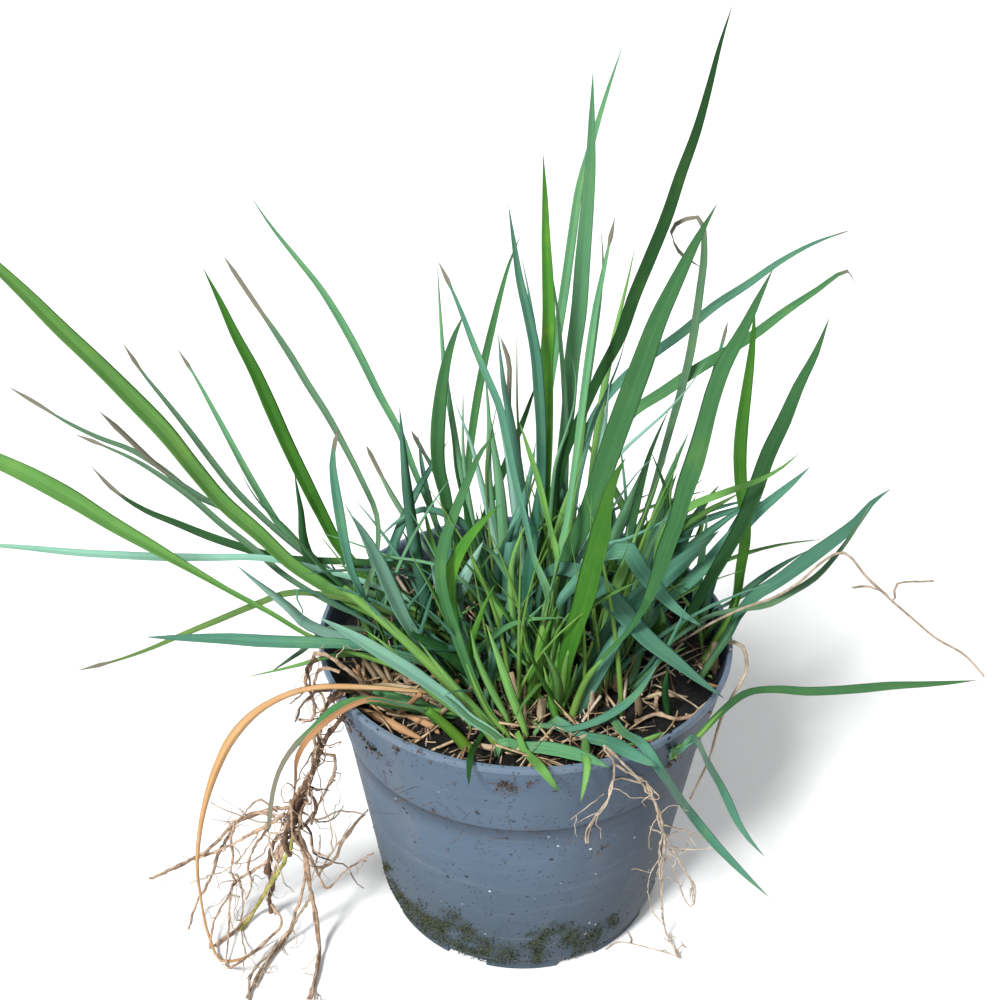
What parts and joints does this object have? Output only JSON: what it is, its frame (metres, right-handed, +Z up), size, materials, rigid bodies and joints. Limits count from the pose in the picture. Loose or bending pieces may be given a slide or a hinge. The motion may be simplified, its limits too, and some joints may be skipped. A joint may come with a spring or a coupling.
{
  "type": "potted ornamental grass clump",
  "caption": "Clump of arching ornamental grass with dry leaves and trailing roots, growing in a round tapered nursery pot filled with compost.",
  "frame": {"origin": "middle of the pot's base, on the face it stands on", "axes": "+Z up along the pot's axis; -Y towards the side the picture shows, +X to its right"},
  "size_m": [0.4709, 0.2266, 0.4135],
  "materials": {
    "pot_plastic": "matte blue-grey, weathered, with soil specks and moss at the foot",
    "black_soil": "moist black peat compost",
    "green": "satin yellow-green living leaf",
    "blue_green": "satin blue-green living leaf",
    "dark_green": "satin dark green living leaf",
    "straw": "matt dry straw",
    "root_brown": "matt dry roots"
  },
  "bodies": {
    "root": {"dry_leaf_1": "straw", "dry_leaf_2": "straw", "dry_stalk": "straw", "dry_straw": "straw", "leaf_front_1": "blue_green", "leaf_front_10": "straw", "leaf_front_2": "dark_green", "leaf_front_3": "green", "leaf_front_4": "green", "leaf_front_6": "green", "leaf_front_7": "green", "leaf_left_1": "green", "leaf_left_10": "dark_green", "leaf_left_11": "green", "leaf_left_12": "blue_green", "leaf_left_13": "green", "leaf_left_14": "blue_green", "leaf_left_2": "dark_green", "leaf_left_23": "blue_green", "leaf_left_3": "green", "leaf_left_4": "dark_green", "leaf_left_6": "green", "leaf_left_7": "dark_green", "leaf_left_8": "green", "leaf_mid_1": "green", "leaf_mid_2": "green", "leaf_mid_3": "blue_green", "leaf_mid_4": "green", "leaf_mid_5": "blue_green", "leaf_right_1": "dark_green", "leaf_right_10": "green", "leaf_right_11": "green", "leaf_right_12": "blue_green", "leaf_right_13": "blue_green", "leaf_right_14": "blue_green", "leaf_right_15": "dark_green", "leaf_right_17": "dark_green", "leaf_right_2": "blue_green", "leaf_right_3": "blue_green", "leaf_right_4": "green", "leaf_right_5": "green", "leaf_right_6": "blue_green", "leaf_right_7": "dark_green", "leaf_right_8": "green", "leaf_right_9": "blue_green", "leaf_top_1": "green", "leaf_top_2": "green", "leaf_top_3": "blue_green", "leaf_top_4": "blue_green", "leaf_top_5": "green", "leaf_top_6": "dark_green", "pot": "pot_plastic", "root_clump": "root_brown", "roots_right": "root_brown", "shoot_back": "dark_green", "shoot_front": "green", "shoot_left": "green", "shoot_middle": "green", "shoot_right": "blue_green", "soil": "black_soil"}
  },
  "joints": []
}
